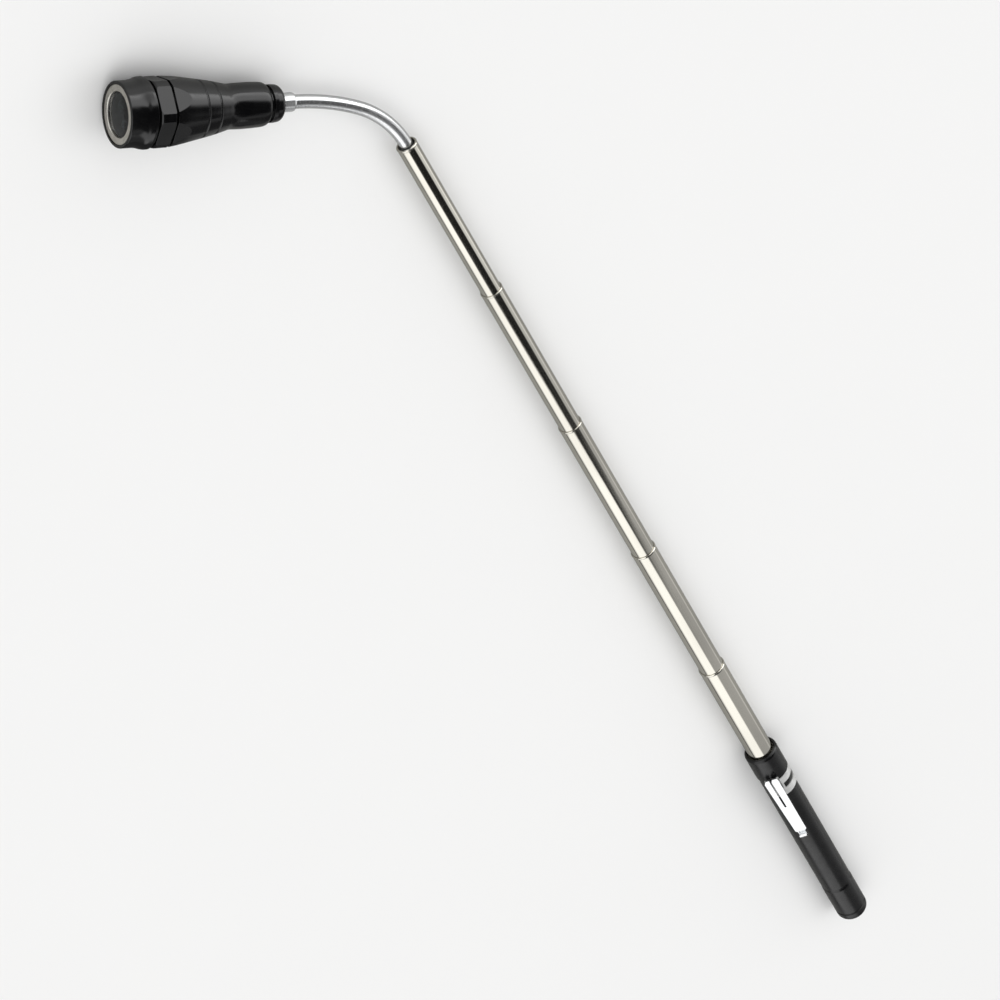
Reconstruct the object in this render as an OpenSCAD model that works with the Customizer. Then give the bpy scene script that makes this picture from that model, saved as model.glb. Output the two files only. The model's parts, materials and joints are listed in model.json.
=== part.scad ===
// Telescopic magnetic pick-up tool: a lighted magnet head on a flexible neck, five
// sliding tubes and a pocket-clip handle.
// It lies on a table, +Z up. The rods run along X with the head at the -X end, and the
// neck bends the head towards -Y. Units are millimetres.
// "Rod frame": local +Z runs along the rods from the handle to the head, local +X is up,
// and z = 0 is the mouth of the thinnest tube.
// "Head frame": local +Z runs along the head from its tail (z = 0) to its face.

/* [Telescope] */
// Outer diameter of the thinnest tube
thin_tube_d = 6.9; // [6.8:0.05:7.1]
// Outer diameter added from one tube to the next
tube_step = 0.72; // [0.7:0.01:0.76]
// Wall of every tube
tube_wall = 0.22; // [0.2:0.01:0.24]
// Length of tubes 2 to 5 that shows in the stored pose
tube_shown = 67; // [50:0.5:71]
// Length of tube 1, the thickest, that shows in the stored pose
first_tube_shown = 50.5; // [30:0.5:71]
// Length of any tube that shows when it is pulled out to its stop
full_shown = 71.4; // [71:0.1:71.6]
// Length of each tube that still shows when it is pushed home
home_shown = 1.2; // [1:0.1:1.4]

/* [Handle] */
// Overall length of the handle
handle_len = 105; // [105:1:112]
// Outer diameter of the handle sleeve
sleeve_d = 12.1; // [12:0.1:12.6]
// Outer diameter of the front collar
collar_d = 12.8; // [12.2:0.1:12.8]
// Length of the front collar
collar_len = 12.8; // [10:0.2:15]
// Length of the end cap
cap_len = 21; // [20:0.1:21.2]
// Direction that the clip faces, in degrees from straight up towards the head's side
clip_turn = 27; // [0:1:40]

/* [Neck] */
// Outer diameter of the flexible neck
neck_d = 4.4; // [4.2:0.1:4.6]
// Length of neck that shows
neck_len = 48; // [44:1:54]
// Bend over the half of the neck next to the tubes, in degrees
lower_bend = 36; // [0:1:60]
// Bend over the half of the neck next to the head, in degrees
upper_bend = 17; // [0:1:60]

/* [Head] */
// Greatest diameter of the head
head_d = 22; // [21.5:0.1:22.5]
// Length of the head from its tail cap to its face
head_len = 55; // [55:0.5:58]
// Distance across the wrench flats
flats = 20.2; // [20:0.1:20.8]
// Turn of the wrench flats about the head
flats_turn = 41; // [0:1:60]
// Outer diameter of the ring magnet
magnet_d = 18.3; // [17.8:0.1:18.4]
// Bore of the ring magnet
magnet_bore = 14; // [13.4:0.1:14.2]

/* [Hidden] */
$fn = 96;
TUBES = 5;
NECK_HINGES = 8;
CELLS = 4;
LEDS = 3;

NECK_BLACK = "#1b1b1d";
ANODISED = "#161618";
NICKEL = "#cfccc2";
CHROME = "#d8dadc";
BRASS = "#b08d4a";

// ---------------------------------------------------------------- telescope sizes
shoe_gap = 0.015;                       // running clearance on each side of a slide shoe
bore_gap = tube_step / 2 - tube_wall;   // radial room between one tube and the next
shoe_len = 6;
stop_gap = 0.5;                         // room for the bead that holds a shoe, ahead of it
bead_h = 0.09;                          // height of the beads that hold a shoe
bead_w = 0.4;                           // width of each bead
lip_len = 1.5;                          // thickened mouth of each tube
mouth_bead = 0.12;                      // how far the rolled edge of a mouth stands proud
mouth_curl = tube_step / 2 - 0.07 + mouth_bead;  // radius of that rolled edge
liner_wall = 0.22;
collar_lip = 1;                         // front of the handle collar, ahead of the liner
floor_depth = handle_len - cap_len - 4; // from the handle's front to the liner's floor
function tube_r(k) = thin_tube_d / 2 + (TUBES - k) * tube_step / 2;
function bore_r(k) = k == 0 ? tube_r(1) + bore_gap : tube_r(k) - tube_wall;
function mouth_r(k) = tube_r(k + 1) + 0.05;
function shown(k) = k == 1 ? first_tube_shown : tube_shown;
function front(k) = k == TUBES ? 0 : front(k + 1) - shown(k + 1);
function tube_len(k) = floor_depth + home_shown * k - 0.5;
// from a tube's mouth back to the front of its slide shoe
function shoe_depth(k) = full_shown + lip_len + stop_gap + (k == 1 ? collar_lip : 0);
handle_front = front(0);
handle_rear = handle_front - handle_len;
liner_r = bore_r(0) + liner_wall;
sleeve_r = sleeve_d / 2;
strap_t = 0.4;                          // sheet thickness of the clip's band
band_r = sleeve_r + strap_t;
band_len = 9.2;
cap_r = sleeve_r + 0.15;
cap_round = 2.6;                        // rounding of the handle's end
cap_front = handle_rear + cap_len;
cup_d = 7.6;                            // steel cup round the magnet in the handle's end
cup_len = 6;
cup_inset = 0.15;                       // the cup's rim lies this far inside the end
base_magnet_d = 6.4;
base_magnet_h = 5;
sleeve_front = handle_front - collar_len;

// --------------------------------------------------------------------- neck sizes
neck_r = neck_d / 2;
ferrule_len = 5;
hinge_step = neck_len / NECK_HINGES;
ball_r = 1.75;
ball_gap = 0.04;
link_gap = 0.5;                         // half the gap between two links at a hinge
neck_mouth_r = thin_tube_d / 2 - tube_wall - 0.28;
bush_len = 8;
function hinge_bend(i) = (i <= NECK_HINGES / 2 ? lower_bend : upper_bend) * 2 / NECK_HINGES;
function total_bend(i) = i == 0 ? 0 : total_bend(i - 1) + hinge_bend(i);
// distance along the rods, and away from them, of hinge i and of the neck's far end
function hinge_z(i) = i == 1 ? hinge_step / 2 : hinge_z(i - 1) + hinge_step * cos(total_bend(i - 1));
function hinge_side(i) = i == 1 ? 0 : hinge_side(i - 1) + hinge_step * sin(total_bend(i - 1));
bend = total_bend(NECK_HINGES);
tail_run = hinge_step / 2 + ferrule_len;
tail_z = hinge_z(NECK_HINGES) + tail_run * cos(bend);
tail_side = hinge_side(NECK_HINGES) + tail_run * sin(bend);

// --------------------------------------------------------------------- head sizes
head_r = head_d / 2;
bezel_len = 8.8;
seal_gap = 0.8;                         // groove between the bezel and the body
seal_r = seal_gap / 2 - 0.02;           // radius of the seal ring's own section
body_front = head_len - bezel_len - seal_gap;
groove_z = head_len - 14.9;             // turned groove behind the band with the flats
groove_half = 0.4;                      // half the width of that groove
groove_floor_r = 9.3;
taper_r = 10.85;                        // front radius of the body's taper, behind that groove
fine_groove_r = 0.45;                   // radius of the cutter for the two fine grooves
spigot_r = 8.5;
spigot_len = 2.6;                       // length of the body's spigot inside the bezel
cell_d = 11.6;
cell_h = 5.4;
cell_top = head_len - 10.4;
cells_bottom = cell_top - CELLS * cell_h;
spring_len = 6;
floor_z = cells_bottom - spring_len;
face_r = head_r - 0.9;
tail_cap_len = 4.1;

// distance of points on the head's outline from its tail, and their radii
BODY_STATIONS = [
    [tail_cap_len + 1.1, 6.0], [tail_cap_len + 2.3, 6.75], [9.8, 7.0], [14.0, 7.05],
    [18.2, 6.97], [20.6, 7.48], [24.5, 8.35], [31.0, 9.5], [35.4, 10.25], [groove_z - groove_half, taper_r]
];
function spline(a, b, c, d, t) = 0.5 * ((2 * b) + (c - a) * t + (2 * a - 5 * b + 4 * c - d) * t * t
    + (3 * b - a - 3 * c + d) * t * t * t);
function smooth(p, steps) = [for (i = [0:len(p) - 2], s = [0:steps - 1])
    spline(p[max(i - 1, 0)], p[i], p[i + 1], p[min(i + 2, len(p) - 1)], s / steps)];
// points of an arc from angle a to angle b, as [radius, height] pairs
function arc(cr, cz, r, a, b, steps) = [for (s = [0:steps]) let (w = a + (b - a) * s / steps)
    [cr + r * cos(w), cz + r * sin(w)]];

// ------------------------------------------------------------- resting on the table
axis_height = band_r;
// The neck's plane is rolled about the rods until the head's lowest edge meets the table
// too: either the bezel's rear edge or the rear of the band with the wrench flats.
flat_half = acos(flats / head_d);
flat_off = abs((180 - flats_turn) % 60 > 30 ? (180 - flats_turn) % 60 - 60 : (180 - flats_turn) % 60);
band_reach = flat_off < flat_half ? head_r * cos(flat_half - flat_off) : head_r;
REST_EDGES = [[head_len - bezel_len + 0.25, head_r - 0.05], [groove_z + groove_half + 0.2, band_reach],
              [groove_z - groove_half, min(taper_r, band_reach)]];
function roll_sin(z, r) = let (
    side = tail_side + z * sin(bend),
    spread = pow(side, 2) + pow(r * sin(bend), 2)
) (sqrt(pow(axis_height * side, 2) + spread * (pow(r, 2) - pow(axis_height, 2))) - axis_height * side)
    / spread;
roll = asin(max([for (e = REST_EDGES) roll_sin(e[0], e[1])]));
// how far the face reaches along the rods and sideways
face_reach_z = tail_z + head_len * cos(bend) + (face_r - 0.2) * sin(bend);
head_dir_side = sin(bend) * cos(roll);
face_reach_side = (tail_side + head_len * sin(bend)) * cos(roll)
    + (face_r - 0.2) * sqrt(1 - pow(head_dir_side, 2));
rod_x = (face_reach_z + handle_rear) / 2;
rod_y = (face_reach_side - band_r) / 2;

module in_rods() { translate([rod_x, rod_y, axis_height]) rotate([0, -90, 0]) children(); }
module at_hinge(i) {
    if (i == 0) rotate([0, 0, roll]) children();
    else at_hinge(i - 1) translate([0, 0, i == 1 ? hinge_step / 2 : hinge_step])
        rotate([hinge_bend(i), 0, 0]) children();
}
module in_head() { in_rods() at_hinge(NECK_HINGES) translate([0, 0, tail_run]) children(); }
module ring(r_out, r_in, h) {
    difference() { cylinder(r = r_out, h = h); translate([0, 0, -1]) cylinder(r = r_in, h = h + 2); }
}

// ------------------------------------------------------------------------- handle
module handle_sleeve() color(ANODISED) in_rods() translate([0, 0, cap_front])
    ring(sleeve_r, liner_r, sleeve_front - cap_front);

module handle_collar() color(ANODISED) in_rods() translate([0, 0, sleeve_front]) rotate_extrude()
    polygon(concat(
        [[liner_r, 0], [collar_d / 2 - 0.2, 0], [collar_d / 2, 0.25]],
        arc(collar_d / 2 - 1.3, collar_len - 1.3, 1.3, 0, 80, 5),
        [[tube_r(1) + 0.75, collar_len], [tube_r(1) + 0.12, collar_len - 0.7],
         [tube_r(1) + 0.12, collar_len - collar_lip], [liner_r, collar_len - collar_lip]]
    ));

module liner_tube() color(NICKEL) in_rods() translate([0, 0, handle_front - floor_depth])
    difference() {
        cylinder(r = liner_r, h = floor_depth - collar_lip);
        translate([0, 0, -1]) cylinder(r = bore_r(0), h = floor_depth - collar_lip - lip_len + 1);
        cylinder(r = mouth_r(0), h = floor_depth + 1);
    }

module end_cap() color(ANODISED) in_rods() translate([0, 0, handle_rear]) difference() {
    rotate_extrude() polygon(concat(
        [[0, 0]], arc(cap_r - cap_round, cap_round, cap_round, -90, 0, 7),
        [[cap_r, 4.2], [cap_r - 0.35, 4.4], [cap_r - 0.35, 5], [cap_r, 5.2],
         [cap_r, cap_len - 1.4], [cap_r - 0.15, cap_len - 0.5], [sleeve_r - 0.05, cap_len],
         [liner_r, cap_len], [liner_r, cap_len + 4], [0, cap_len + 4]]
    ));
    translate([0, 0, -1]) cylinder(d = cup_d, h = cup_len + 1);
}
module magnet_cup() color(NICKEL) in_rods() translate([0, 0, handle_rear]) difference() {
    translate([0, 0, cup_inset]) cylinder(d = cup_d, h = cup_len - cup_inset);
    translate([0, 0, -1]) cylinder(d = base_magnet_d, h = base_magnet_h + 1);
}
module base_magnet() color(NICKEL) in_rods() translate([0, 0, handle_rear])
    cylinder(d = base_magnet_d, h = base_magnet_h);

// The clip's band is a strap that wraps three quarters of the sleeve, with a long slot.
strap_start = -clip_turn - 24;
strap_turn = 262;
slot_start = 52;
slot_turn = 128;
rib_w = 3.2;
module strap(from, turn, h) rotate([0, 0, from]) rotate_extrude(angle = turn)
    translate([sleeve_r, 0]) square([strap_t, h]);
module clip_band() color(CHROME) in_rods() translate([0, 0, sleeve_front - band_len]) difference() {
    strap(strap_start, strap_turn, band_len);
    translate([0, 0, rib_w]) rotate([0, 0, strap_start + slot_start]) rotate_extrude(angle = slot_turn)
        translate([sleeve_r - 1, 0]) square([strap_t + 2, band_len - 2 * rib_w]);
}

// The clip's arm is a sprung strip: folded over at the front, rolled up at the tip. Its
// side view is drawn with x away from the rods' axis and y towards the head.
arm_w = 5.5;
arm_end_w = 4.4;                        // width where the tip's tongue begins
tongue_w = 2.8;
tongue_len = 2.6;
arm_t = 0.6;
arm_len = 35.5;
fold_r = 1.1;
fold_z = sleeve_front + 2.05;
leg_r = band_r + 0.25;                  // inner face of the short leg, clear of the band
short_leg = 7.5;
tip_r = 1;
tip_lift = 0.2;                         // the tip's clearance over the sleeve
fold_x = leg_r + fold_r;
tip_x = sleeve_r + tip_lift + tip_r;
tip_y = tip_r - arm_len;
slit_w = 0.75;
slit_len = 16.8;
slit_y = -0.3;                          // the slit is a little off the middle of the arm
lobe_r = 1;                             // rounding of the arm's front corners
inner_lobe_r = 0.5;                     // rounding where the slit opens
// one side of the strip from the short leg's end over the fold to the rolled tip's end;
// in = 0 is the strip's outer face and in = arm_t its inner face
function strip_side(in) = concat(
    [[leg_r + in, -short_leg]],
    arc(fold_x, 0, fold_r - in, 180, 0, 10),
    arc(tip_x, tip_y, tip_r - arm_t + in, 180, 400, 16)
);
module arm_side() {
    outer = strip_side(0);
    inner = strip_side(arm_t);
    polygon(concat(outer, [for (i = [len(inner) - 1:-1:0]) inner[i]]));
}
// The strip seen from above, x across it: two round lobes with the slit between them at the
// front, a slight taper, and a narrower tongue at the tip.
module arm_plan() {
    front_y = fold_r + 0.001;
    slit_end = front_y - slit_len;
    tongue_y = tongue_len - arm_len;
    polygon(concat(
        arc(arm_w / 2 - lobe_r, front_y - lobe_r, lobe_r, 0, 90, 6),
        arc(slit_y + slit_w / 2 + inner_lobe_r, front_y - inner_lobe_r, inner_lobe_r, 90, 180, 4),
        arc(slit_y, slit_end, slit_w / 2, 0, -180, 6),
        arc(slit_y - slit_w / 2 - inner_lobe_r, front_y - inner_lobe_r, inner_lobe_r, 0, 90, 4),
        arc(lobe_r - arm_w / 2, front_y - lobe_r, lobe_r, 90, 180, 6),
        [[-arm_end_w / 2, tongue_y + 1], [-tongue_w / 2, tongue_y], [-tongue_w / 2, -arm_len - 1],
         [tongue_w / 2, -arm_len - 1], [tongue_w / 2, tongue_y], [arm_end_w / 2, tongue_y + 1]]
    ));
}
module clip_arm() color(CHROME) in_rods() rotate([0, 0, -clip_turn]) translate([0, 0, fold_z])
    intersection() {
        rotate([90, 0, 0]) translate([0, 0, -arm_w / 2]) linear_extrude(height = arm_w) arm_side();
        rotate([90, 0, 90]) linear_extrude(height = fold_x + fold_r + 1) arm_plan();
    }

// ---------------------------------------------------------------------- telescope
function bead(r, z) = [[r, z], [r + bead_h, z + 0.05], [r + bead_h, z + bead_w - 0.05], [r, z + bead_w]];
module tube_body(k) {
    r = tube_r(k);
    l = tube_len(k);
    lip_r = k == TUBES ? neck_mouth_r : mouth_r(k);
    shoe_z = l - shoe_depth(k) - shoe_len;
    rotate_extrude() polygon(concat(
        [[bore_r(k), 0], [r, 0]],
        // two rolled beads hold the slide shoe between them
        bead(r, shoe_z - bead_w - 0.05),
        bead(r, shoe_z + shoe_len + 0.05),
        // rolled edge of the mouth
        arc(r + mouth_bead - mouth_curl, l - mouth_curl, mouth_curl,
            -acos(1 - mouth_bead / mouth_curl), 90, 6),
        [[lip_r, l - 0.02], [lip_r, l - lip_len + 0.2], [bore_r(k), l - lip_len]]
    ));
}
module tube(k) color(NICKEL) in_rods() translate([0, 0, front(k) - tube_len(k)]) tube_body(k);

module slide_shoe(k) color(BRASS) in_rods()
    translate([0, 0, front(k) - shoe_depth(k) - shoe_len]) difference() {
        ring(bore_r(k - 1) - shoe_gap, tube_r(k) + shoe_gap, shoe_len);
        // the split that lets the sleeve spring open
        translate([0, -0.35, -1]) cube([9, 0.7, shoe_len + 2]);
    }

// --------------------------------------------------------------------------- neck
module neck_bush() color(NECK_BLACK) in_rods() translate([0, 0, -lip_len - 0.05 - bush_len])
    ring(bore_r(TUBES) - shoe_gap, neck_r, bush_len);

module link_ball() sphere(r = ball_r, $fn = 48);
module neck_root() color(CHROME) in_rods() rotate([0, 0, roll]) {
    translate([0, 0, -lip_len - 0.05 - bush_len])
        cylinder(r = neck_r, h = bush_len + lip_len + 0.05 + hinge_step / 2 - link_gap);
    translate([0, 0, hinge_step / 2]) link_ball();
}
module link_shell(h) difference() {
    translate([0, 0, link_gap]) cylinder(r = neck_r, h = h);
    sphere(r = ball_r + ball_gap, $fn = 48);
}
module neck_link(i) color(CHROME) in_rods() at_hinge(i) {
    if (i < NECK_HINGES) {
        link_shell(hinge_step - 2 * link_gap);
        translate([0, 0, hinge_step]) link_ball();
    } else link_shell(hinge_step / 2 - link_gap + ferrule_len + 3);
}
module neck_ferrule() color(CHROME) in_head() translate([0, 0, -ferrule_len]) difference() {
    rotate_extrude() polygon([[0, 0], [neck_r + 0.2, 0], [2.85, 0.3], [3, 0.8],
        [3, ferrule_len + 2.5], [0, ferrule_len + 2.5]]);
    translate([0, 0, -1]) cylinder(r = neck_r, h = ferrule_len + 5);
}

// --------------------------------------------------------------------------- head
socket_r = 4.3;                         // screwed socket in the body's tail
module tail_cap() color(ANODISED) in_head() difference() {
    rotate_extrude() polygon(concat(
        [[0, 0]], arc(3.9, 1.9, 1.9, -90, 0, 6), [[5.9, 2.9], [5.85, tail_cap_len]],
        [[socket_r, tail_cap_len], [socket_r, 11], [0, 11]]
    ));
    translate([0, 0, -1]) cylinder(r = 3.0, h = 3.5);
    translate([0, 0, 2]) cylinder(r = neck_r, h = 1.001);
}

spigot_end = body_front + seal_gap + spigot_len;
module body_outline() polygon(concat(
    [[0, tail_cap_len], [5.2, tail_cap_len], [5.2, tail_cap_len + 1]],
    [for (p = smooth(BODY_STATIONS, 5)) [p[1], p[0]]],
    [[taper_r, groove_z - groove_half], [groove_floor_r, groove_z - groove_half + 0.05],
     [groove_floor_r, groove_z + groove_half - 0.05],
     [head_r - 0.2, groove_z + groove_half], [head_r, groove_z + groove_half + 0.2],
     [head_r, body_front - 0.4], [head_r - 0.4, body_front],
     [spigot_r, body_front], [spigot_r, spigot_end], [0, spigot_end]]
));
module head_body() color(ANODISED) in_head() difference() {
    rotate_extrude() body_outline();
    // wrench flats over the band and the front of the taper
    for (f = [0:5]) rotate([0, 0, flats_turn + 60 * f])
        translate([flats / 2, -10, groove_z - 6]) cube([5, 20, body_front - groove_z + 6.001]);
    // two fine turned grooves near the waist
    for (g = [[head_len - 26.6, 9.24], [head_len - 31.3, 8.37]]) translate([0, 0, g[0]])
        rotate_extrude() translate([g[1], 0]) circle(r = fine_groove_r, $fn = 24);
    // battery bore, spring seat and tail socket
    translate([0, 0, cells_bottom - 1]) cylinder(r = cell_d / 2 + 0.65, h = head_len);
    translate([0, 0, LED_SEAT - 0.05]) cylinder(r = holder_r + 0.05, h = head_len);
    translate([0, 0, floor_z]) cylinder(r = 5, h = head_len);
    translate([0, 0, 1]) cylinder(r = socket_r, h = 10);
}
module bezel_o_ring() color(NECK_BLACK) in_head() translate([0, 0, body_front + seal_gap / 2])
    rotate_extrude() translate([spigot_r + seal_r, 0]) circle(r = seal_r, $fn = 24);

// compression spring: flat coils at both ends, swept as one wire
spring_turns = 4.5;
wire_r = 0.3;
spring_steps = 20;
spring_sides = 8;
spring_r = 3.6;
function spring_point(s, q) = let (
    turn = s / spring_steps, run = spring_turns * spring_steps,
    z = wire_r + (spring_len - 0.06 - 2 * wire_r) * s / run,
    w = 360 * turn, b = 360 * q / spring_sides, r = spring_r + wire_r * cos(b)
) [r * cos(w), r * sin(w), z + wire_r * sin(b)];
module battery_spring() color(CHROME) in_head() translate([0, 0, floor_z]) {
    run = spring_turns * spring_steps;
    n = spring_sides;
    polyhedron(
        points = [for (s = [0:run], q = [0:n - 1]) spring_point(s, q)],
        faces = concat(
            [[for (q = [0:n - 1]) q]],
            [for (s = [0:run - 1], q = [0:n - 1]) let (a = s * n + q, b = s * n + (q + 1) % n)
                [a, a + n, b + n, b]],
            [[for (q = [n - 1:-1:0]) run * n + q]]
        ));
}
module battery_sleeve() color(NECK_BLACK) in_head() translate([0, 0, cells_bottom])
    ring(cell_d / 2 + 0.6, cell_d / 2, cell_top - cells_bottom);
module button_cell(c) color(CHROME) in_head() translate([0, 0, cell_top - c * cell_h])
    rotate_extrude() polygon([[0, 0], [4.4, 0], [4.6, 0.35], [5.3, 0.55], [cell_d / 2, 0.9],
        [cell_d / 2, cell_h - 0.3], [cell_d / 2 - 0.3, cell_h], [0, cell_h]]);
module board_contact() color(BRASS) in_head() translate([0, 0, cell_top]) cylinder(r = 3, h = 1.2);
module led_board() color("#1f5a35") in_head() translate([0, 0, cell_top + 1.2]) cylinder(r = 6.4, h = 1);

LED_SEAT = cell_top + 2.2;
led_pitch = 3.2;
module led(e) color("#e8ecef") in_head() rotate([0, 0, 120 * e + 30]) translate([led_pitch, 0, LED_SEAT])
    rotate_extrude() polygon(concat(
        [[0, 0], [2.7, 0], [2.7, 0.9], [2.4, 0.9]], arc(0, 3.2, 2.4, 0, 90, 6)));
holder_r = 6.75;
holder_h = 6.1;
module led_holder() color(NECK_BLACK) in_head() translate([0, 0, LED_SEAT]) difference() {
    cylinder(r = holder_r, h = holder_h);
    translate([0, 0, 3.4]) cylinder(r1 = 5.9, r2 = 6.2, h = holder_h);
    for (e = [1:LEDS]) rotate([0, 0, 120 * e + 30]) translate([led_pitch, 0, -1]) {
        cylinder(r = 2.45, h = 8);
        cylinder(r = 2.75, h = 1.95);
    }
}
// The window lies inside the ring magnet, on a gasket on the holder's rim.
gasket_t = 0.35;
lens_r = 6.75;
lens_edge = 0.85;                       // thickness of the window at its edge
dome_r = 42;                            // radius of its slightly domed front
lens_seat = LED_SEAT + holder_h;
module lens_gasket() color(NECK_BLACK) in_head() translate([0, 0, lens_seat]) ring(6.7, 6.05, gasket_t);
module lens() color("#6a747c", 0.7) in_head() translate([0, 0, lens_seat + gasket_t]) rotate_extrude()
    polygon(concat(
        [[0, 0], [lens_r, 0]],
        arc(0, lens_edge - dome_r * cos(asin(lens_r / dome_r)), dome_r, 90 - asin(lens_r / dome_r), 90, 8)
    ));

magnet_h = 4;
magnet_z = head_len - 0.25 - magnet_h;
module ring_magnet() color(NICKEL) in_head() translate([0, 0, magnet_z]) rotate_extrude()
    difference() {
        translate([magnet_bore / 2, 0]) square([(magnet_d - magnet_bore) / 2, magnet_h]);
        translate([magnet_d / 2, magnet_h]) circle(r = 0.2, $fn = 24);
        translate([magnet_bore / 2, magnet_h]) circle(r = 0.2, $fn = 24);
    }
module magnet_backing() color(CHROME) in_head() translate([0, 0, magnet_z - 1])
    ring(magnet_d / 2, magnet_bore / 2, 1);
module bezel() color(ANODISED) in_head() translate([0, 0, head_len - bezel_len]) difference() {
    rotate_extrude() polygon(concat(
        [[0, 0], [head_r - 0.4, 0], [head_r - 0.05, 0.25]],
        [for (p = smooth([[1.0, 10.95], [2.2, 10.7], [3.4, 10.33], [5, 10.12], [7.2, 10.1], [8.1, 10.1]], 4))
            [p[1] + head_r - 11, p[0]]],
        arc(face_r - 0.35, bezel_len - 0.35, 0.35, 0, 90, 4),
        [[0, bezel_len]]
    ));
    translate([0, 0, -1]) cylinder(r = spigot_r + 0.03, h = spigot_len + 1.05);
    translate([0, 0, 1]) cylinder(r = magnet_bore / 2 + 0.4, h = 20);
    translate([0, 0, bezel_len - magnet_h - 1.25]) cylinder(r = magnet_d / 2, h = 20);
}

handle_sleeve();
handle_collar();
liner_tube();
clip_band();
clip_arm();
end_cap();
magnet_cup();
base_magnet();
for (k = [1:TUBES]) tube(k);
for (k = [1:TUBES]) slide_shoe(k);
neck_bush();
neck_root();
for (i = [1:NECK_HINGES]) neck_link(i);
neck_ferrule();
tail_cap();
head_body();
bezel_o_ring();
battery_spring();
battery_sleeve();
for (c = [1:CELLS]) button_cell(c);
board_contact();
led_board();
for (e = [1:LEDS]) led(e);
led_holder();
lens();
lens_gasket();
ring_magnet();
magnet_backing();
bezel();
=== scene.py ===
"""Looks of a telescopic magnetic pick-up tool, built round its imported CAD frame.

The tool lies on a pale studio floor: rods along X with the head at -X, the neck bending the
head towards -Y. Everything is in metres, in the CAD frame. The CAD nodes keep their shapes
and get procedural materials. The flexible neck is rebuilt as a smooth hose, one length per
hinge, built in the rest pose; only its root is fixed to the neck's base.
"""

import json
import math

import bpy
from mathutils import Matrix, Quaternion, Vector


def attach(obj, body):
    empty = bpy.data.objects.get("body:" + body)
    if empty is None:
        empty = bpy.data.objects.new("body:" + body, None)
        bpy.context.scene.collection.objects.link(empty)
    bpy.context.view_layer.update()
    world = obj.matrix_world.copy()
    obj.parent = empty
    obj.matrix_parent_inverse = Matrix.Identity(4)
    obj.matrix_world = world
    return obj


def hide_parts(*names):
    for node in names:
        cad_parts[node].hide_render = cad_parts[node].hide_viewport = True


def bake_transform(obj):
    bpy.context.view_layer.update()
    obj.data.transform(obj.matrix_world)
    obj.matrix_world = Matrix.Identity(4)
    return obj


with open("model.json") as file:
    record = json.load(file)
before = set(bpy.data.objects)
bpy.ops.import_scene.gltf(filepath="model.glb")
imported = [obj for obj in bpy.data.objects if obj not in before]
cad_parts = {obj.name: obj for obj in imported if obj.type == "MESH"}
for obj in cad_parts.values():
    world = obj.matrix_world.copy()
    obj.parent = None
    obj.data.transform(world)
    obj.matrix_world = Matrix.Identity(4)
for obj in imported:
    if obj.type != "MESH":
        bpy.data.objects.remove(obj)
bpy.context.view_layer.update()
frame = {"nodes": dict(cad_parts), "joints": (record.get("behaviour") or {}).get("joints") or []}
scene = bpy.context.scene
MM = 0.001
BEVEL_SAMPLES = 6

# ------------------------------------------------------------------ places, from the frame
joints = {j["name"]: j for j in frame["joints"]}


def joint_point(name):
    return Vector(joints[name]["pos_m"])


def joint_axis(name):
    return Vector(joints[name]["axis"]).normalized()


ROD_DIR = joint_axis("neck_slide")  # from the handle to the head
HEAD_DIR = joint_axis("front_draw")  # from the head's tail to its face
HEAD_POINT = joint_point("bezel_twist")
ROD_POINT = joint_point("tube_5_swivel")
NECK_PIVOTS = [joint_point(f"neck_bend_{i}") for i in range(1, 9)]
BEND_AXIS = joint_axis("neck_bend_1")


# ------------------------------------------------------------------------------ node steps
def add_node(tree, kind, inputs=None, **settings):
    """A shader node with its settings, and each input either linked or set."""
    made = tree.nodes.new(kind)
    for name, value in settings.items():
        setattr(made, name, value)
    for name, value in (inputs or {}).items():
        if isinstance(value, bpy.types.NodeSocket):
            tree.links.new(value, made.inputs[name])
        else:
            made.inputs[name].default_value = value
    return made


def math_step(tree, operation, a, b=0.0, clamp=False):
    return add_node(tree, "ShaderNodeMath", {0: a, 1: b}, operation=operation, use_clamp=clamp).outputs[0]


def remap(tree, value, low, high, to_low=0.0, to_high=1.0, smooth=True):
    """value from low..high to to_low..to_high, held at both ends."""
    kind = "SMOOTHSTEP" if smooth else "LINEAR"
    inputs = {"Value": value, "From Min": low, "From Max": high, "To Min": to_low, "To Max": to_high}
    return add_node(tree, "ShaderNodeMapRange", inputs, interpolation_type=kind).outputs["Result"]


def mix_colour(tree, factor, a, b):
    """A colour between a and b, each a socket or (r, g, b)."""
    made = add_node(tree, "ShaderNodeMix", {"Factor": factor}, data_type="RGBA")
    for name, value in (("A", a), ("B", b)):
        socket = next(s for s in made.inputs if s.name == name and s.type == "RGBA")
        if isinstance(value, bpy.types.NodeSocket):
            tree.links.new(value, socket)
        else:
            socket.default_value = (*value, 1.0)
    return next(s for s in made.outputs if s.type == "RGBA")


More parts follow.
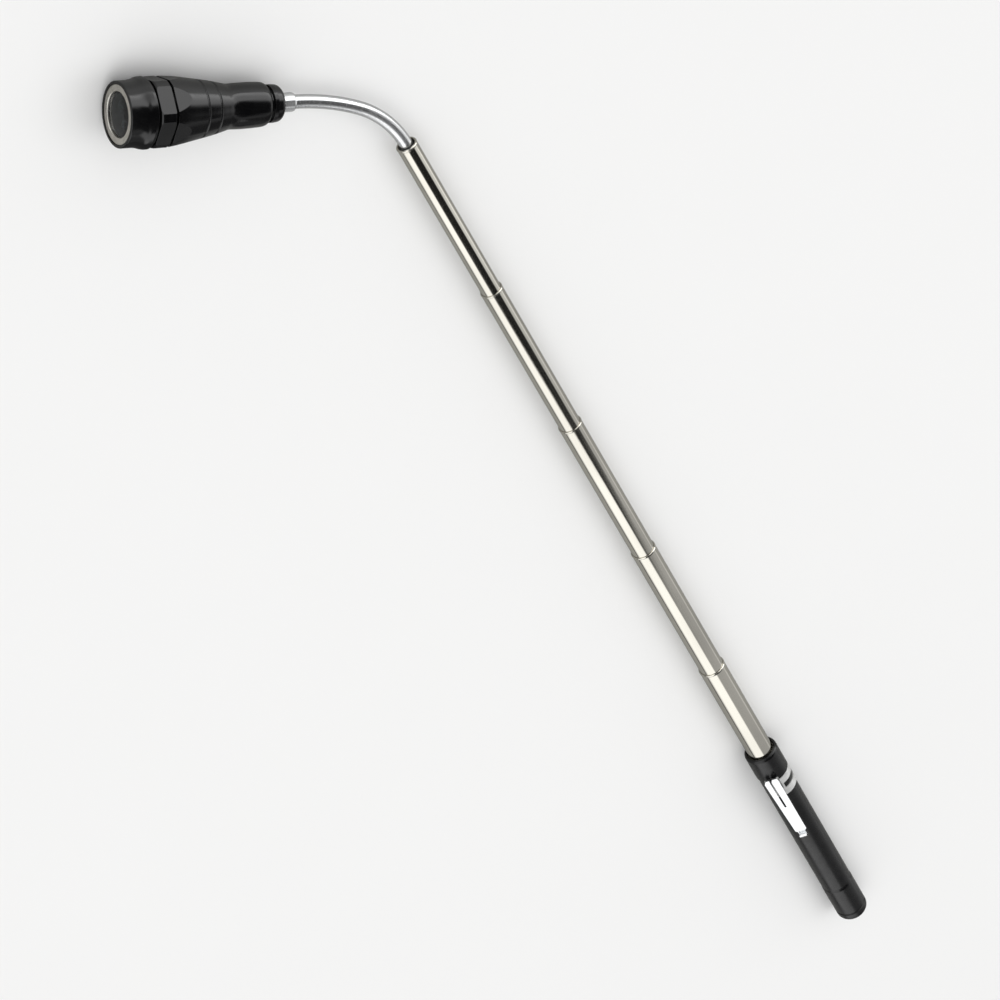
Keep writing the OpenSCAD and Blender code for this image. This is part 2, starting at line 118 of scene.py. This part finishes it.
class Surface:
    """A Principled material whose patterns are laid out round an axis of the tool."""

    def __init__(self, name, axis=ROD_DIR, origin=ROD_POINT, **sockets):
        self.material = bpy.data.materials.new(name)
        self.material.use_nodes = True
        self.tree = self.material.node_tree
        self.shader = self.tree.nodes["Principled BSDF"]
        for socket, value in sockets.items():
            self.set(socket.replace("_", " "), value)
        turn = axis.to_track_quat("Z", "Y").to_euler()
        place = add_node(self.tree, "ShaderNodeTexCoord").outputs["Object"]
        inputs = {"Vector": place, "Location": tuple(origin), "Rotation": tuple(turn)}
        self.place = add_node(self.tree, "ShaderNodeMapping", inputs, vector_type="TEXTURE").outputs[0]

    def set(self, socket, value):
        target = self.shader.inputs[socket]
        if isinstance(value, bpy.types.NodeSocket):
            self.tree.links.new(value, target)
        else:
            target.default_value = value

    def noise(self, across, along=None, detail=3.0, rough=0.5):
        """Noise with features of about 1/across and 1/along millimetres, 0 to 1."""
        along = across if along is None else along
        scale = (across / MM, across / MM, along / MM)
        stretched = add_node(self.tree, "ShaderNodeMapping", {"Vector": self.place, "Scale": scale})
        inputs = {"Vector": stretched.outputs[0], "Scale": 1.0, "Detail": detail, "Roughness": rough}
        return add_node(self.tree, "ShaderNodeTexNoise", inputs).outputs["Fac"]

    def edges(self, radius, gain):
        """1 along sharp edges within radius, 0 on open faces."""
        rounded = add_node(self.tree, "ShaderNodeBevel", {"Radius": radius}, samples=BEVEL_SAMPLES)
        flat = add_node(self.tree, "ShaderNodeNewGeometry").outputs["Normal"]
        inputs = {0: rounded.outputs[0], 1: flat}
        facing = add_node(self.tree, "ShaderNodeVectorMath", inputs, operation="DOT_PRODUCT")
        turned = math_step(self.tree, "SUBTRACT", 1.0, facing.outputs["Value"])
        return math_step(self.tree, "MULTIPLY", turned, gain, clamp=True)

    def bumps(self, steps, round_edges=None):
        """Adds relief: steps are (height socket, depth in metres)."""
        normal = None
        if round_edges:
            rounded = add_node(
                self.tree, "ShaderNodeBevel", {"Radius": round_edges}, samples=BEVEL_SAMPLES
            )
            normal = rounded.outputs[0]
        for height, depth in steps:
            inputs = {"Height": height, "Distance": depth, "Strength": 1.0}
            if normal is not None:
                inputs["Normal"] = normal
            normal = add_node(self.tree, "ShaderNodeBump", inputs).outputs[0]
        self.tree.links.new(normal, self.shader.inputs["Normal"])


# ------------------------------------------------------------------------------- materials
def anodised(name, axis, origin, smooth, rough):
    """Black anodised aluminium: turned, lightly blasted, rubbed a little paler on its edges.

    Its roughness wanders between smooth and rough, as if handled."""
    s = Surface(name, axis, origin, IOR=1.5)
    worn = math_step(s.tree, "MULTIPLY", s.edges(0.22 * MM, 2.2), remap(s.tree, s.noise(0.5), 0.42, 0.7))
    film = remap(s.tree, s.noise(0.08, detail=4), 0.3, 0.7)
    black = mix_colour(s.tree, film, (0.002, 0.002, 0.0023), (0.0042, 0.0042, 0.0045))
    s.set("Base Color", mix_colour(s.tree, worn, black, (0.035, 0.035, 0.034)))
    smudge = remap(s.tree, s.noise(0.16, detail=5, rough=0.6), 0.35, 0.75, smooth, rough)
    s.set("Roughness", smudge)
    grain = s.noise(9.0, detail=2)
    lines = s.noise(0.02, along=5.0, detail=2)
    s.bumps([(lines, 0.0012 * MM), (grain, 0.0009 * MM)], round_edges=0.12 * MM)
    return s.material


def drawn_nickel(name, tint, roughness):
    """Nickel-plated tube with fine draw lines along it and a faint film of handling."""
    s = Surface(name, Metallic=1.0)
    cloud = remap(s.tree, s.noise(0.07, along=0.02, detail=4), 0.35, 0.7)
    dull = tuple(0.9 * c for c in tint)
    s.set("Base Color", mix_colour(s.tree, cloud, tint, dull))
    lines = s.noise(6.0, along=0.05, detail=3, rough=0.6)
    s.set("Roughness", remap(s.tree, lines, 0.3, 0.75, roughness * 0.75, roughness * 1.3))
    s.bumps([(lines, 0.0006 * MM)], round_edges=0.06 * MM)
    return s.material


def polished(name, tint, roughness, axis=ROD_DIR, origin=ROD_POINT, mirror=1.0, rounding=0.08 * MM):
    """Polished plate with faint cloudy wiping marks and hairline scratches.

    With mirror below 1 it also scatters a little light. Edges are rounded by rounding, or left
    as they are at 0."""
    s = Surface(name, axis, origin, Metallic=mirror)
    cloud = remap(s.tree, s.noise(0.25, detail=5, rough=0.6), 0.35, 0.75)
    s.set("Base Color", mix_colour(s.tree, cloud, tint, tuple(0.93 * c for c in tint)))
    s.set("Roughness", remap(s.tree, cloud, 0.0, 1.0, roughness * 0.8, roughness * 1.4))
    hairs = s.noise(7.0, along=0.4, detail=2)
    s.bumps([(hairs, 0.0004 * MM)], round_edges=rounding)
    return s.material


def satin_metal(name, tint, roughness, axis=HEAD_DIR, origin=HEAD_POINT, grain_size=4.0, mirror=1.0):
    """Ground, stamped or rolled metal with a fine even grain and rubbed edges."""
    s = Surface(name, axis, origin, Metallic=mirror)
    cloud = remap(s.tree, s.noise(0.4, detail=4), 0.35, 0.7)
    base = mix_colour(s.tree, cloud, tint, tuple(0.82 * c for c in tint))
    bright = tuple(min(1.0, 1.2 * c) for c in tint)
    s.set("Base Color", mix_colour(s.tree, s.edges(0.15 * MM, 2.0), base, bright))
    grain = s.noise(grain_size, detail=3)
    s.set("Roughness", remap(s.tree, grain, 0.3, 0.7, roughness * 0.8, roughness * 1.25))
    s.bumps([(grain, 0.0015 * MM)], round_edges=0.08 * MM)
    return s.material


def moulded(name, tint, roughness, texture=0.003):
    """Moulded plastic or rubber with a fine spark-eroded texture, its depth in millimetres."""
    s = Surface(name, HEAD_DIR, HEAD_POINT)
    cloud = s.noise(0.5, detail=3)
    s.set("Base Color", mix_colour(s.tree, cloud, tint, tuple(0.75 * c for c in tint)))
    grain = s.noise(5.0, detail=3)
    s.set("Roughness", remap(s.tree, grain, 0.3, 0.7, roughness * 0.85, min(1.0, roughness * 1.15)))
    s.bumps([(grain, texture * MM)], round_edges=0.1 * MM)
    return s.material


def clear_window(name, tint):
    """Clear moulded window or epoxy with a little dust on it."""
    s = Surface(name, HEAD_DIR, HEAD_POINT, Transmission_Weight=1.0, IOR=1.49)
    dust = remap(s.tree, s.noise(2.5, detail=5, rough=0.7), 0.62, 0.8)
    s.set("Base Color", mix_colour(s.tree, dust, tint, tuple(0.8 * c for c in tint)))
    s.set("Roughness", remap(s.tree, dust, 0.0, 1.0, 0.03, 0.3))
    return s.material


def board_mask(name):
    """Green solder mask with paler tracks under it."""
    s = Surface(name, HEAD_DIR, HEAD_POINT)
    tracks = remap(s.tree, s.noise(0.9, detail=0), 0.49, 0.51)
    s.set("Base Color", mix_colour(s.tree, tracks, (0.012, 0.09, 0.035), (0.03, 0.16, 0.06)))
    s.set("Roughness", remap(s.tree, s.noise(3.0), 0.3, 0.7, 0.3, 0.45))
    s.bumps([(tracks, 0.02 * MM)])
    return s.material


NICKEL_TINT = (0.76, 0.735, 0.66)
CHROME_TINT = (0.86, 0.87, 0.88)
material = {
    "black_handle": anodised("black_anodised_handle", ROD_DIR, ROD_POINT, 0.24, 0.36),
    "black_head": anodised("black_anodised_head", HEAD_DIR, HEAD_POINT, 0.14, 0.24),
    "nickel": drawn_nickel("drawn_nickel", NICKEL_TINT, 0.1),
    "chrome_clip": polished("bright_chrome_clip", CHROME_TINT, 0.09),
    "satin_strap": satin_metal(
        "satin_chrome_strap", (0.88, 0.88, 0.87), 0.42, ROD_DIR, ROD_POINT, mirror=0.5
    ),
    "chrome_ferrule": polished(
        "bright_chrome_ferrule", CHROME_TINT, 0.12, HEAD_DIR, HEAD_POINT, mirror=0.8
    ),
    "hose": polished("chrome_hose", CHROME_TINT, 0.2, mirror=0.92, rounding=0.0),
    "brass": satin_metal("spring_brass", (0.70, 0.50, 0.22), 0.28),
    "zinc": satin_metal("zinc_plated_steel", (0.55, 0.56, 0.57), 0.32),
    "magnet": satin_metal("plated_magnet", (0.86, 0.83, 0.77), 0.34, grain_size=3.0),
    "cell": polished("cell_can", (0.74, 0.73, 0.71), 0.2, HEAD_DIR, HEAD_POINT),
    "wire": polished("spring_wire", (0.66, 0.65, 0.62), 0.18, HEAD_DIR, HEAD_POINT),
    "plastic": moulded("black_plastic", (0.016, 0.016, 0.017), 0.42),
    "rubber": moulded("nitrile_rubber", (0.012, 0.012, 0.012), 0.6, texture=0.006),
    "board": board_mask("board_solder_mask"),
    "epoxy": clear_window("led_epoxy", (0.97, 0.98, 1.0)),
    "lens": clear_window("window_smoked", (0.30, 0.335, 0.37)),
}

NODE_MATERIAL = {
    "black_handle": ["handle_sleeve", "handle_collar", "end_cap"],
    "black_head": ["head_body", "bezel", "tail_cap"],
    "nickel": ["liner_tube"] + [f"tube_{k}" for k in range(1, 6)],
    "chrome_clip": ["clip_arm"],
    "satin_strap": ["clip_band"],
    "chrome_ferrule": ["neck_ferrule"],
    "hose": ["neck_root"] + [f"neck_link_{i}" for i in range(1, 9)],
    "brass": ["board_contact"] + [f"slide_shoe_{k}" for k in range(1, 6)],
    "zinc": ["magnet_cup", "magnet_backing"],
    "magnet": ["base_magnet", "ring_magnet"],
    "cell": [f"button_cell_{c}" for c in range(1, 5)],
    "wire": ["battery_spring"],
    "plastic": ["battery_sleeve", "led_holder", "neck_bush"],
    "rubber": ["lens_gasket", "bezel_o_ring"],
    "board": ["led_board"],
    "epoxy": ["led_1", "led_2", "led_3"],
    "lens": ["lens"],
}
for key, nodes in NODE_MATERIAL.items():
    for name in nodes:
        slots = frame["nodes"][name].data.materials
        slots.clear()
        slots.append(material[key])


# -------------------------------------------------------------------------- flexible neck
def ring_mesh(name, rings, sides, finish):
    """A smooth tube through rings of (centre, first side vector, second side vector, radius)."""
    points = []
    for centre, u, v, radius in rings:
        for q in range(sides):
            turn = 2 * math.pi * q / sides
            points.append(centre + radius * (math.cos(turn) * u + math.sin(turn) * v))
    faces = []
    for s in range(len(rings) - 1):
        for q in range(sides):
            a = s * sides + q
            b = s * sides + (q + 1) % sides
            faces.append((a, b, b + sides, a + sides))
    mesh = bpy.data.meshes.new(name)
    mesh.from_pydata(points, [], faces)
    mesh.shade_smooth()
    mesh.materials.append(finish)
    piece = bpy.data.objects.new(name, mesh)
    scene.collection.objects.link(piece)
    return piece


HOSE_R = 2.2 * MM
HOSE_SIDES = 40
HOSE_ROOT_LEN = 9.5 * MM  # of the stretch inside the last tube
TURN_PITCH = 0.5 * MM  # one turn of the wound hose
TURN_DEPTH = 0.02 * MM  # of the groove between two turns
TURN_PHASES = ((0.0, 1.0), (0.18, 0.15), (0.5, 0.0), (0.82, 0.15))  # place in a turn, share of the depth


def hose_rings(length, point_at):
    """Rings along a stretch of hose; point_at(share) gives the centre and direction there."""
    turns = round(length / TURN_PITCH)
    rings = []
    for turn in range(turns):
        for place, share in TURN_PHASES:
            rings.append(((turn + place) / turns, share))
    rings.append((1.0, 1.0))
    made = []
    for share_along, groove in rings:
        centre, direction = point_at(share_along)
        made.append((centre, BEND_AXIS, BEND_AXIS.cross(direction), HOSE_R - TURN_DEPTH * groove))
    return made


def straight(start, direction, length):
    return lambda share: (start + direction * length * share, direction)


def bent(pivot, before, after, half):
    """The arc that runs from half before the pivot to half after it, tangent at both ends."""
    angle = before.angle(after)
    if angle < 1e-6:
        return straight(pivot - before * half, before, 2 * half)
    radius = half / math.tan(angle / 2)
    inward = (after - before * math.cos(angle)).normalized()
    start = pivot - before * half

    def point_at(share):
        turn = angle * share
        centre = start + radius * (math.sin(turn) * before + (1 - math.cos(turn)) * inward)
        return centre, math.cos(turn) * before + math.sin(turn) * inward

    return point_at


def flexible_neck():
    """A straight root in the last tube, then one length of hose per hinge.

    Each length runs from half a link before its hinge to half a link after it."""
    step = (NECK_PIVOTS[1] - NECK_PIVOTS[0]).length
    half = step / 2
    spans = [b - a for a, b in zip(NECK_PIVOTS, NECK_PIVOTS[1:])]
    directions = [ROD_DIR] + [s.normalized() for s in spans] + [HEAD_DIR]
    mouth = NECK_PIVOTS[0] - ROD_DIR * half
    root = ring_mesh(
        "neck_hose_root",
        hose_rings(HOSE_ROOT_LEN, straight(mouth - ROD_DIR * HOSE_ROOT_LEN, ROD_DIR, HOSE_ROOT_LEN)),
        HOSE_SIDES,
        material["hose"],
    )
    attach(root, "neck_base")
    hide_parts("neck_root")
    for i, pivot in enumerate(NECK_PIVOTS):
        arc = bent(pivot, directions[i], directions[i + 1], half)
        rings = hose_rings(step, arc)
        piece = ring_mesh(f"neck_hose_{i + 1}", rings, HOSE_SIDES, material["hose"])
        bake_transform(piece)
        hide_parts(f"neck_link_{i + 1}")


flexible_neck()


# ------------------------------------------------------------------------------ the studio
FLOOR_SIZE = 8.0
FLOOR_TINT = (0.86, 0.86, 0.855)
# how the paper looks in reflections: painted shade, a painted shadow by the head, painted light past it
FLOOR_SHADED_IN_REFLECTIONS = (0.34, 0.34, 0.33)
FLOOR_PAINTED_SHADOW_BY_HEAD = (0.06, 0.06, 0.06)
FLOOR_PAINTED_LIGHT_PAST_HEAD = (0.95, 0.95, 0.94)
ACROSS_HEAD = (-0.8, 0.6)  # level and square to the head, towards its far side
FAR_SIDE = (178 * MM, 235 * MM)  # measured that way, where painted light brightens the reflected paper
NEAR_SIDE_X = (-232 * MM, -215 * MM)  # where the painted shadow on the reflected paper begins, next to the head
NEAR_SIDE_Y = (-30 * MM, -16 * MM)  # and where it ends, towards the rods


def floor():
    half = FLOOR_SIZE / 2
    mesh = bpy.data.meshes.new("studio_floor")
    corners = [(-half, -half, 0), (half, -half, 0), (half, half, 0), (-half, half, 0)]
    mesh.from_pydata(corners, [], [(0, 1, 2, 3)])
    s = Surface("floor_paper", Roughness=0.85, Specular_IOR_Level=0.2)
    paper = mix_colour(s.tree, s.noise(0.02), FLOOR_TINT, tuple(0.99 * c for c in FLOOR_TINT))
    # in reflections the paper is painted darker, a painted shade that keeps the metal's undersides
    # dark; a painted shadow darkens it most by the head, and painted light brightens the far side
    place = add_node(s.tree, "ShaderNodeTexCoord").outputs["Object"]
    x, y, _ = add_node(s.tree, "ShaderNodeSeparateXYZ", {0: place}).outputs
    # mask of the painted shadow on the reflected paper, next to the head
    begins = remap(s.tree, x, *NEAR_SIDE_X)
    ends = remap(s.tree, y, *NEAR_SIDE_Y, 1.0, 0.0)
    shadow_by_head_mask = math_step(s.tree, "MULTIPLY", begins, ends)
    # mask of the painted light on the reflected paper, past the head's far side
    across_x = math_step(s.tree, "MULTIPLY", x, ACROSS_HEAD[0])
    across_y = math_step(s.tree, "MULTIPLY", y, ACROSS_HEAD[1])
    light_past_head_mask = remap(s.tree, math_step(s.tree, "ADD", across_x, across_y), *FAR_SIDE)
    painted_reflection_colour = mix_colour(s.tree, shadow_by_head_mask, FLOOR_SHADED_IN_REFLECTIONS, FLOOR_PAINTED_SHADOW_BY_HEAD)
    painted_reflection_colour = mix_colour(s.tree, light_past_head_mask, painted_reflection_colour, FLOOR_PAINTED_LIGHT_PAST_HEAD)
    # the painted shade, shadow and light show only in reflections
    mirrored = add_node(s.tree, "ShaderNodeLightPath").outputs["Is Glossy Ray"]
    s.set("Base Color", mix_colour(s.tree, mirrored, paper, painted_reflection_colour))
    mesh.materials.append(s.material)
    plane = bpy.data.objects.new("studio_floor", mesh)
    scene.collection.objects.link(plane)


# Strengths of the light, and angles of lean in degrees.
EVEN_SKY = 0.8
SOFTBOX = 1.35
CEILING = 0.012
CEILING_BEHIND_HEAD = 0.25
SOFTBOX_BLUR = 5.0  # half the width of its soft edge
WALL_BLUR = 6.0
SOFTBOX_FADE = (-92.0, -72.0)  # lean where the softbox dims towards the horizon
WALL_FOOT = (70.0, 86.0)  # lean where the wall brightens towards the horizon


def studio_world():
    """What the metal mirrors, over an even white sky that lights everything else.

    The metal sees a white softbox along the -Y side, a dark ceiling over the rods and a pale
    wall along the +Y side. Directions are told by x and by lean, the angle about the rods from
    straight up towards +Y."""
    world = bpy.data.worlds.new("studio")
    scene.world = world
    world.use_nodes = True
    tree = world.node_tree
    direction = add_node(tree, "ShaderNodeTexCoord").outputs["Generated"]
    x, y, z = add_node(tree, "ShaderNodeSeparateXYZ", {0: direction}).outputs

    def along_x(start, end, before, after):
        return remap(tree, x, start, end, before, after)

    def add(a, b):
        return math_step(tree, "ADD", a, b)

    def minus(a, b):
        return math_step(tree, "SUBTRACT", a, b)

    def times(a, b):
        return math_step(tree, "MULTIPLY", a, b)

    lean = times(math_step(tree, "ARCTAN2", y, z), math.degrees(1.0))

    # the softbox ends at its edge, fades towards the horizon and is dim at its +X end
    edge = along_x(0.62, 0.68, -27.0, -8.0)
    before_edge = remap(tree, minus(lean, edge), -SOFTBOX_BLUR, SOFTBOX_BLUR, 1.0, 0.0)
    above_horizon = remap(tree, lean, *SOFTBOX_FADE, 0.4, 1.0)
    softbox = times(times(before_edge, above_horizon), along_x(0.84, 0.92, 1.0, 0.14))

    # the wall starts where the dark ceiling ends: the ceiling is widest in the middle and
    # narrows to nothing towards +X
    widens = add(along_x(-0.6, -0.2, 30.0, 54.0), along_x(-0.1, 0.15, 0.0, 6.0))
    narrows = add(along_x(0.3, 0.5, 0.0, -14.0), along_x(0.66, 0.7, 0.0, -60.0))
    beyond = remap(tree, minus(lean, add(widens, narrows)), -WALL_BLUR, WALL_BLUR)
    ceiling = along_x(-0.6, -0.4, CEILING_BEHIND_HEAD, CEILING)

    # the wall is brightest over the head and at its foot, and falls off towards both ends
    over_head = math_step(tree, "MINIMUM", along_x(0.0, 0.4, 2.3, 0.78), along_x(-0.75, -0.5, 1.3, 2.3))
    near_wall = times(over_head, remap(tree, lean, *WALL_FOOT, 1.0, 1.5))
    falls_off = times(along_x(0.6, 0.67, 1.0, 0.55), along_x(0.77, 0.85, 1.0, 0.2))
    lit = times(beyond, times(near_wall, falls_off))
    wall = math_step(tree, "MAXIMUM", lit, ceiling)

    mirrored = remap(tree, softbox, 0.0, 1.0, wall, SOFTBOX, smooth=False)
    is_mirrored = add_node(tree, "ShaderNodeLightPath").outputs["Is Glossy Ray"]
    background = tree.nodes["Background"]
    background.inputs["Color"].default_value = (1, 1, 1, 1)
    strength = remap(tree, is_mirrored, 0.0, 1.0, EVEN_SKY, mirrored, smooth=False)
    tree.links.new(strength, background.inputs["Strength"])


def area_light(name, place, size, power):
    """A round light aimed at the middle of the stage, itself unseen in the metal."""
    data = bpy.data.lights.new(name, "AREA")
    data.shape = "DISK"
    data.size = size
    data.energy = power
    light = bpy.data.objects.new(name, data)
    scene.collection.objects.link(light)
    light.location = place
    light.rotation_mode = "QUATERNION"
    light.rotation_quaternion = (-Vector(place)).to_track_quat("-Z", "Y")
    light.visible_glossy = False


# The camera looks down on the tool from the head's end, turned so that the rods run from
# the upper left of the picture to the lower right.
CAMERA_AZIMUTH = math.radians(-80.78)
CAMERA_ELEVATION = math.radians(48.10)
CAMERA_ROLL = math.radians(136.02)
CAMERA_DISTANCE = 1.2436
CAMERA_AIM = Vector((-0.0217, 0.0027, 0.0))
CAMERA_FIELD = math.radians(15.60)


def camera():
    data = bpy.data.cameras.new("camera")
    data.angle = CAMERA_FIELD
    data.clip_start = 0.05
    data.clip_end = 20.0
    made = bpy.data.objects.new("camera", data)
    scene.collection.objects.link(made)
    level = math.cos(CAMERA_ELEVATION)
    back = Vector((
        math.sin(CAMERA_AZIMUTH) * level,
        -math.cos(CAMERA_AZIMUTH) * level,
        math.sin(CAMERA_ELEVATION),
    ))
    made.location = CAMERA_AIM + back * CAMERA_DISTANCE
    made.rotation_mode = "QUATERNION"
    turn = Quaternion((0, 0, 1), CAMERA_ROLL)
    made.rotation_quaternion = (-back).to_track_quat("-Z", "Y") @ turn
    scene.camera = made


floor()
studio_world()
area_light("key", place=(-0.5, -0.9, 1.7), size=1.6, power=7.0)
area_light("fill", place=(0.3, 0.9, 1.7), size=1.6, power=7.0)
camera()
scene.view_settings.view_transform = "Standard"
